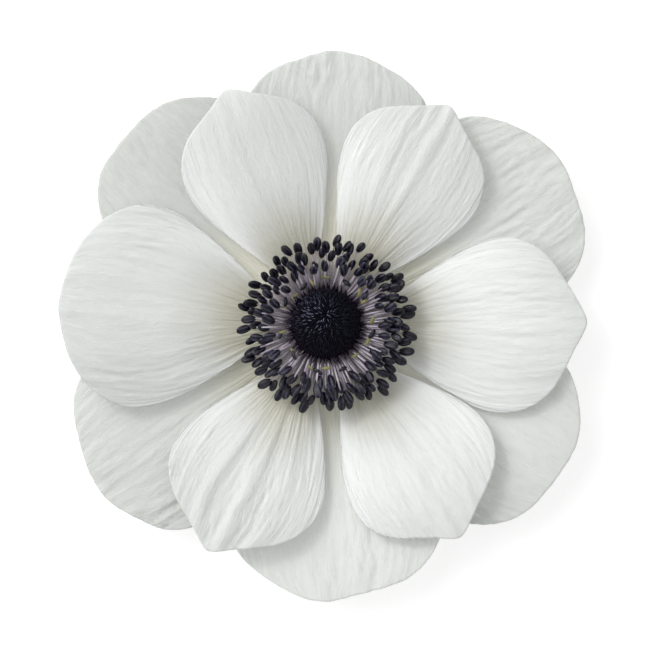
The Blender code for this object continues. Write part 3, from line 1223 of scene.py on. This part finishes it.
@dataclass
class Litter:
    """Small loose bits that lie on the filaments close round the dome."""

    name: str
    finish: Finish
    slot: Slot
    count: float
    length: float
    width: float
    nearest: float
    farthest: float
    height: float
    slant: float  # turn of each bit from the line to the axis, in radians
    seed: int
    centre: tuple[float, float] = (0.35 * MM, 0.2 * MM)

    SIZES = ("Count", "Length", "Width", "Nearest", "Farthest", "Height", "Slant")

    def build(self) -> bpy.types.Object:
        """Grows and dresses the bits.

        Returns:
            One piece that holds them all.
        """
        growth = Growth(self.name, self.SIZES)
        count = growth.size("Count")
        points = growth.field("GeometryNodeMeshLine", None, {"Count": count})
        index = growth.field("GeometryNodeInputIndex")
        azimuth = (index + growth.random(-0.4, 0.4)) * math.tau / count
        nearest = growth.size("Nearest")
        radius = nearest + (growth.size("Farthest") - nearest) * growth.random(0.0, 1.0)
        level = growth.size("Height") + growth.random(-0.3 * MM, 0.3 * MM) + LIFT
        place = growth.vector(growth.math("COSINE", azimuth) * radius + self.centre[0],
                              growth.math("SINE", azimuth) * radius + self.centre[1], level)
        points = growth.placed(points, place)
        points = growth.keep(points, TONE_AND_LIGHT, growth.random(0.0, 1.0))
        bits = self._scattered(growth, points, azimuth)
        growth.finish(growth.dressed(bits, self.finish.make()))
        sizes = (self.count, self.length, self.width, self.nearest, self.farthest, self.height, self.slant)
        return settle(growth.grow(self.name, sizes, self.seed), self.slot)

    @staticmethod
    def _scattered(growth: Growth, points: Field, azimuth: Field) -> Field:
        """One bowed, two-ridged bit on each point.

        Args:
            growth: The bits' tree.
            points: Where they lie.
            azimuth: Each one's direction from the axis.

        Returns:
            The bits, as instances.
        """
        ball = growth.field("GeometryNodeMeshUVSphere", None, {"Segments": 8, "Rings": 7, "Radius": 0.5})
        x, y, z = growth.parts(growth.field("GeometryNodeInputPosition"))
        ridge = growth.math("EXPONENT", -(((growth.math("ABSOLUTE", y) - 0.25) / 0.13) ** 2.0))
        ball = growth.keep(ball, RIDGE, ridge)
        width = growth.size("Width")
        bow = growth.math("COSINE", x * math.pi) * width * 0.35
        shape = growth.vector(x * growth.size("Length"), y * width, z * width * 0.7 + bow)
        bit = growth.placed(ball, shape)
        yaw = azimuth + growth.size("Slant") + growth.random(-0.9, 0.9)
        tilt = growth.vector(growth.random(-0.5, 0.5), growth.random(-0.35, 0.35), yaw)
        turn = growth.field("FunctionNodeEulerToRotation", None, {0: tilt})
        size = growth.random(0.8, 1.15)
        sockets = {"Points": points, "Instance": bit, "Rotation": turn,
                   "Scale": growth.vector(size, size, size)}
        return growth.field("GeometryNodeInstanceOnPoints", None, sockets)


@dataclass
class Receptacle:
    """The receptacle and the short cut end of the stem below it."""

    finish: StemFinish
    stem_radius: float = 2.7 * MM
    collar_radius: float = 5.6 * MM
    collar_bottom: float = 2.5 * MM
    collar_top: float = 5.3 * MM
    crown_radius: float = 4.3 * MM
    crown_top: float = 7.1 * MM
    flare_steps: int = 10
    sides: int = 72

    def build(self) -> bpy.types.Object:
        """Builds and dresses the receptacle.

        Returns:
            The piece.
        """
        piece = turned("receptacle_flesh", self._outline(), self.sides)
        piece.data.materials.append(self.finish.make())
        return settle(piece, Slot.RECEPTACLE, "receptacle")

    def _outline(self) -> list[tuple[float, float]]:
        """The outline from the crown down to the cut face, which is slightly hollow.

        Returns:
            (radius, height) pairs from the top down.
        """
        outline = [
            (0.0, self.crown_top), (self.crown_radius * 0.86, self.crown_top),
            (self.crown_radius, self.crown_top - 0.5 * MM),
            (self.collar_radius - 0.2 * MM, self.collar_top),
            (self.collar_radius, self.collar_top - 0.4 * MM),
        ]
        for i in range(self.flare_steps + 1):
            angle = math.pi / 2 * i / self.flare_steps
            radius = self.stem_radius + (self.collar_radius - self.stem_radius) * math.cos(angle)
            drop = (self.collar_bottom - STUB_BOTTOM - 0.4 * MM) * math.sin(angle)
            outline.append((radius, self.collar_bottom - drop))
        rim = self.stem_radius
        return outline + [
            (rim, STUB_BOTTOM + 0.1 * MM), (rim - 0.12 * MM, STUB_BOTTOM), (rim * 0.8, STUB_BOTTOM),
            (rim * 0.55, STUB_BOTTOM + 0.12 * MM), (0.0, STUB_BOTTOM + 0.15 * MM),
        ]


@dataclass(frozen=True)
class SoftLamp:
    """A square soft lamp that faces the flower."""

    name: str
    place: tuple[float, float, float]
    side: float
    watts: float

    def hang(self) -> None:
        """Hangs the lamp in its place."""
        data = bpy.data.lights.new(self.name, "AREA")
        data.shape = "SQUARE"
        data.size = self.side
        data.energy = self.watts
        lamp = bpy.data.objects.new(self.name, data)
        lamp.location = self.place
        lamp.rotation_euler = (-Vector(self.place)).to_track_quat("-Z", "Y").to_euler()
        bpy.context.scene.collection.objects.link(lamp)


@dataclass
class Studio:
    """A pale floor, soft lights and a camera that looks straight down on the bloom."""

    floor_finish: PlainFinish
    floor_size: float = 1.5
    frame_width: float = 111.0 * MM
    lens: float = 150.0
    sensor: float = 36.0
    sight_height: float = 9.0 * MM
    sky_strength: float = 0.58
    lamps: tuple[SoftLamp, ...] = (
        SoftLamp("key_lamp", (-0.60, 0.42, 0.66), side=0.9, watts=5.3),
        SoftLamp("glint_lamp", (-0.52, 0.46, 0.74), side=0.2, watts=1.7),
    )

    def build(self) -> None:
        """Sets the floor, the camera, the sky and the lamps."""
        self._floor()
        self._camera()
        self._sky()
        for lamp in self.lamps:
            lamp.hang()

    def _floor(self) -> None:
        """Lays a large plain floor."""
        shape = bmesh.new()
        bmesh.ops.create_grid(shape, x_segments=2, y_segments=2, size=self.floor_size)
        mesh = bpy.data.meshes.new("floor")
        shape.to_mesh(mesh)
        shape.free()
        mesh.materials.append(self.floor_finish.make())
        floor = bpy.data.objects.new("floor", mesh)
        bpy.context.scene.collection.objects.link(floor)

    def _camera(self) -> None:
        """Sets a long lens straight above the flower's axis."""
        data = bpy.data.cameras.new("camera")
        data.lens = self.lens
        data.sensor_width = self.sensor
        camera = bpy.data.objects.new("camera", data)
        distance = self.frame_width * self.lens / self.sensor
        camera.location = (0.0, 0.0, self.sight_height + distance)
        bpy.context.scene.collection.objects.link(camera)
        bpy.context.scene.camera = camera

    def _sky(self) -> None:
        """Sets an even white sky and plain colours."""
        world = bpy.data.worlds.new("sky")
        world.use_nodes = True
        background = world.node_tree.nodes["Background"]
        background.inputs["Color"].default_value = (1.0, 1.0, 1.0, 1.0)
        background.inputs["Strength"].default_value = self.sky_strength
        bpy.context.scene.world = world
        bpy.context.scene.view_settings.view_transform = "Standard"


INNER_SHAPES = (
    PetalShape(0.0, 44.6 * MM, 33.5, 33.7, 0.02, 2.6 * MM, 0.3, 0.16 * MM, 2.1, 1.0, 0.88),
    PetalShape(61.0, 42.8 * MM, 28.5, 30.5, -0.03, 2.6 * MM, 1.1, 0.44 * MM, 1.2, 1.01, 0.98, 0.12),
    PetalShape(112.5, 43.4 * MM, 30.0, 27.5, 0.02, 2.6 * MM, 2.9, 0.10 * MM, 0.7, 1.06, 0.86, 0.18),
    PetalShape(174.0, 45.6 * MM, 37.3, 37.0, 0.05, 1.0 * MM, 4.2, 0.14 * MM, 2.0, 0.89, 0.86, -0.30),
    PetalShape(242.5, 43.4 * MM, 32.5, 32.0, 0.0, 3.5 * MM, 5.0, 0.62 * MM, 1.9, 0.97, 0.97, 0.05),
    PetalShape(302.5, 42.8 * MM, 33.5, 30.5, 0.0, 3.0 * MM, 0.8, 0.16 * MM, 1.8, 1.05, 0.87),
)
OUTER_SHAPES = (
    PetalShape(33.0, 49.2 * MM, 32.5, 32.0, 0.0, 0.6 * MM, 0.0, 0.10 * MM, 2.3, 1.01, 1.06),
    PetalShape(87.0, 46.9 * MM, 31.0, 32.0, 0.1, 0.6 * MM, 2.2, 0.18 * MM, 1.7, 0.98, 1.72),
    PetalShape(134.5, 47.3 * MM, 30.5, 31.5, 0.0, 0.2 * MM, 4.0, 0.0, 1.1, 0.88, 1.60, 0.12),
    PetalShape(214.0, 47.8 * MM, 31.5, 33.5, 0.2, 0.5 * MM, 1.3, 0.15 * MM, 2.0, 0.92, 0.88, -0.12),
    PetalShape(273.5, 47.3 * MM, 36.5, 36.5, -0.1, 0.7 * MM, 3.3, 0.14 * MM, 1.4, 1.11, 0.82),
    PetalShape(327.5, 47.8 * MM, 32.5, 31.5, 0.0, 0.2 * MM, 5.4, 0.08 * MM, 1.6, 1.01, 0.95),
)
WHORLS = (
    WhorlShape("stamen_inner", 0.0, 46.0, 4.78 * MM, 6.8 * MM, upright=0.60, arch=0.0),
    WhorlShape("stamen_middle", 46.0, 48.0, 5.12 * MM, 6.3 * MM, upright=0.35, arch=1.1 * MM),
    WhorlShape("stamen_outer", 94.0, 50.0, 5.6 * MM, 5.7 * MM, upright=0.12, arch=3.1 * MM),
)

# Dark petal base: partly its own dusky eye, partly painted shade under the filaments.
EYE_AND_SHADE = (0.12, 0.09, 0.115)
INNER_TISSUE = PetalFinish(
    "inner_petal_tissue", 0.52, blade=(0.88, 0.90, 0.885), claw=(0.53, 0.505, 0.36), eye_and_shade=EYE_AND_SHADE,
    rim=(0.69, 0.71, 0.695), claw_end=0.64, vein_strength=0.50, vein_depth=0.28 * MM, translucency=0.3,
)
OUTER_TISSUE = PetalFinish(
    "outer_petal_tissue", 0.55, blade=(0.70, 0.715, 0.69), claw=(0.51, 0.50, 0.39), eye_and_shade=EYE_AND_SHADE,
    rim=(0.56, 0.58, 0.55), claw_end=0.62, vein_strength=0.50, vein_depth=0.32 * MM, translucency=0.5,
)
PISTIL_WOOL = WoolFinish(
    "pistil_wool", 0.22, root=(0.002, 0.002, 0.004), tip=(0.004, 0.004, 0.010),
    apex=(0.15 * MM, 1.9 * MM), gloss=0.06,
)
# The styles' bluish glint near the apex is a painted highlight.
STYLE_SKIN = StyleFinish(
    "style_skin", 0.30, crown=(0.002, 0.0022, 0.008), edge=(0.017, 0.004, 0.020),
    painted_glint=(0.30, 0.30, 0.44), painted_glint_at=(-1.5 * MM, 1.5 * MM), painted_glint_reach=2.5 * MM, gloss=0.14,
)
FILAMENT_SKIN = FilamentFinish("filament_skin", 0.42, foot=(0.92, 0.85, 0.92), top=(0.46, 0.38, 0.54))
ANTHER_WALL = AntherFinish("anther_wall", 0.42, wall=(0.002, 0.0017, 0.007), dust_and_sheen=(0.062, 0.058, 0.105))
SHRED_SKIN = PlainFinish("shred_skin", 0.6, (0.31, 0.30, 0.12), mottle_scale=900.0, contrast=0.5)
STEM_SKIN = StemFinish("stem_skin", 0.6, skin=(0.20, 0.27, 0.09), pith=(0.62, 0.66, 0.42))
FLOOR_PAPER = PlainFinish("floor_paper", 0.9, (0.75, 0.75, 0.75), mottle_scale=6.0, contrast=0.985, glow=0.50)


def main() -> None:
    """Builds the flower and its studio."""
    logging.basicConfig(level=logging.INFO, format="%(name)s %(message)s")
    PetalRing(
        "outer_petal", OUTER_SHAPES, OUTER_TISSUE, seat=3.0 * MM, rise=6.4 * MM, sag=2.2 * MM,
        belly=0.2 * MM, roll=1.3 * MM, curl=0.8 * MM, twist=0.07, shoulder=0.60, squareness=2.4,
        fullness=0.47, ripple=0.28 * MM, pleat_depth=0.36 * MM, crispness=1.5, painted_margin_light=0.02,
        wave=0.6 * MM,
    ).build()
    PetalRing(
        "inner_petal", INNER_SHAPES, INNER_TISSUE, seat=4.8 * MM, rise=7.1 * MM, sag=0.9 * MM,
        belly=0.9 * MM, roll=1.9 * MM, curl=1.0 * MM, twist=0.02, shoulder=0.52, squareness=2.5,
        fullness=0.46, ripple=0.10 * MM, pleat_depth=0.27 * MM, crispness=0.9, painted_margin_light=0.08,
        wave=0.4 * MM,
    ).build()
    PistilDome(PISTIL_WOOL, STYLE_SKIN).build()
    Stamens(WHORLS, FILAMENT_SKIN, ANTHER_WALL).build()
    Litter(
        "short_anthers", ANTHER_WALL, Slot.STAMEN, count=10.0, length=1.95 * MM, width=0.80 * MM,
        nearest=7.5 * MM, farthest=8.5 * MM, height=11.2 * MM, slant=1.2, seed=21,
    ).build()
    Litter(
        "pale_shreds", SHRED_SKIN, Slot.RECEPTACLE, count=13.0, length=1.85 * MM, width=0.56 * MM,
        nearest=7.2 * MM, farthest=8.1 * MM, height=11.1 * MM, slant=0.9, seed=22,
    ).build()
    Receptacle(STEM_SKIN).build()
    Studio(FLOOR_PAPER).build()


if __name__ == "__main__":
    main()
